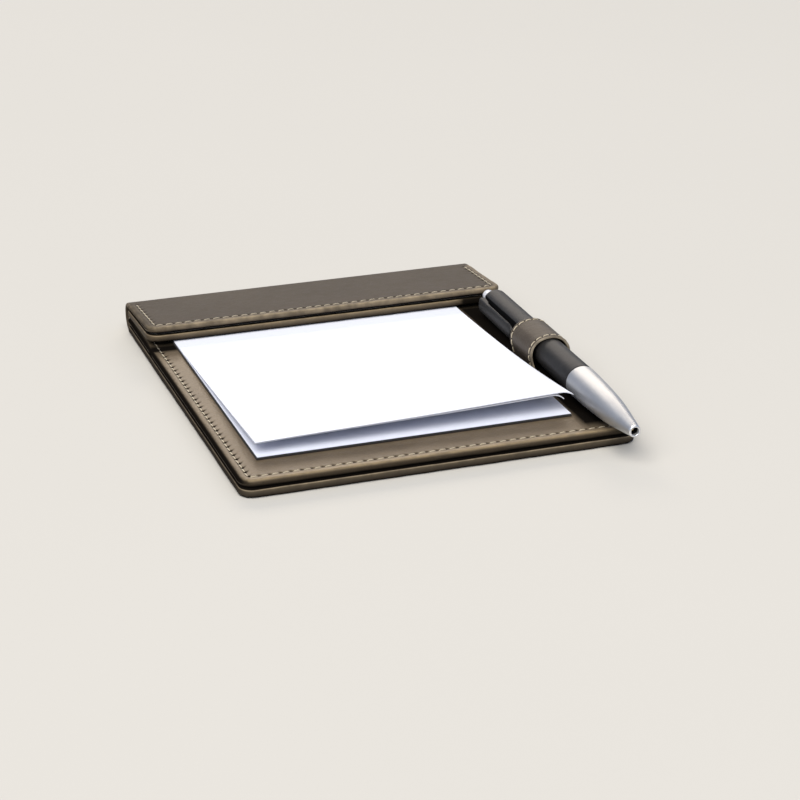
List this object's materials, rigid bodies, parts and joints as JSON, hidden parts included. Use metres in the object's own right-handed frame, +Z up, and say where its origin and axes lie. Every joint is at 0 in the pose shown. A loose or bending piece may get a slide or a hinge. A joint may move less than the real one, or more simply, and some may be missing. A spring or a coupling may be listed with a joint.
{
  "type": "memo pad holder",
  "caption": "Leather-covered memo-pad holder: stiff stitched base, folded flap clamping a writing pad, loop on the right margin holding a push-button ballpoint pen.",
  "frame": {"origin": "centre of the flat underside of the base", "axes": "+Z up, +Y towards the folded back edge (head of the pad), +X towards the pen"},
  "size_m": [0.132, 0.1726, 0.0181],
  "materials": {
    "leather": "satin taupe-bronze PU leather with a fine grain",
    "leather_flap": "satin taupe-bronze PU leather with a fine grain",
    "board": "grey board",
    "thread": "beige sewing thread",
    "paper": "white uncoated paper",
    "card": "backing card",
    "glue": "dried white padding glue",
    "satin_silver": "satin silver",
    "black_plastic": "satin charcoal-black plastic",
    "button": "glossy pale silver",
    "cam_plastic": "natural moulded plastic",
    "refill": "clear tube with blue ink",
    "brass": "turned brass",
    "spring_steel": "drawn wire"
  },
  "bodies": {
    "base": {"outer_cover_base": "leather", "inner_cover_base": "leather", "base_board_lower": "board", "base_board_upper": "board", "base_seam_thread": "thread", "pen_loop": "leather", "pen_loop_thread_front": "thread", "pen_loop_thread_rear": "thread"},
    "flap": {"outer_cover_flap": "leather_flap", "inner_cover_flap": "leather_flap", "flap_board_upper": "board", "flap_board_lower": "board", "flap_seam_thread": "thread"},
    "pad": {"pad_backing_card": "card", "pad_sheet_block": "paper", "pad_glue_binding": "glue"},
    "second_sheet": {"second_sheet": "paper"},
    "top_sheet": {"top_sheet": "paper"},
    "pen": {"pen_barrel": "black_plastic", "pen_nose_cone": "satin_silver", "pen_cam_sleeve": "cam_plastic", "pen_spring": "spring_steel"},
    "pen_clip": {"pen_clip": "black_plastic"},
    "pen_button": {"pen_button": "button", "pen_cam_plunger": "cam_plastic"},
    "refill": {"pen_refill_tube": "refill", "pen_refill_tip": "brass"}
  },
  "joints": [
    {"name": "flap_hinge", "type": "hinge", "parent": "base", "child": "flap", "pos_m": [0, 0.0783, 0.0055], "axis": [-1, 0, 0], "range_deg": [0, 100]},
    {"name": "pad_slide", "type": "slide", "parent": "base", "child": "pad", "axis": [0, -1, 0], "range_m": [0, 0.026]},
    {"name": "second_sheet_lift", "type": "hinge", "parent": "pad", "child": "second_sheet", "pos_m": [0, 0.035, 0.0072], "axis": [-1, 0, 0], "range_deg": [0, 50]},
    {"name": "top_sheet_lift", "type": "hinge", "parent": "second_sheet", "child": "top_sheet", "pos_m": [0, 0.035, 0.0074], "axis": [-1, 0, 0], "range_deg": [0, 55]},
    {"name": "pen_slide", "type": "slide", "parent": "base", "child": "pen", "axis": [-0.0165, -0.9999, 0], "range_m": [0, 0.062]},
    {"name": "clip_flex", "type": "hinge", "parent": "pen", "child": "pen_clip", "pos_m": [0.05446, 0.02526, 0.01175], "axis": [0, 0, -1], "range_deg": [0, 5], "stiffness_Nm_per_rad": 0.3},
    {"name": "button_push", "type": "slide", "parent": "pen", "child": "pen_button", "axis": [-0.0165, -0.9999, 0], "range_m": [0, 0.0045], "stiffness_N_per_m": 250},
    {"name": "refill_slide", "type": "slide", "parent": "pen", "child": "refill", "axis": [-0.0165, -0.9999, 0], "range_m": [0, 0.0045], "deforming": ["pen_spring"]}
  ],
  "couplings": [
    {"joint": "refill_slide", "follows": "button_push", "ratio": 1}
  ]
}
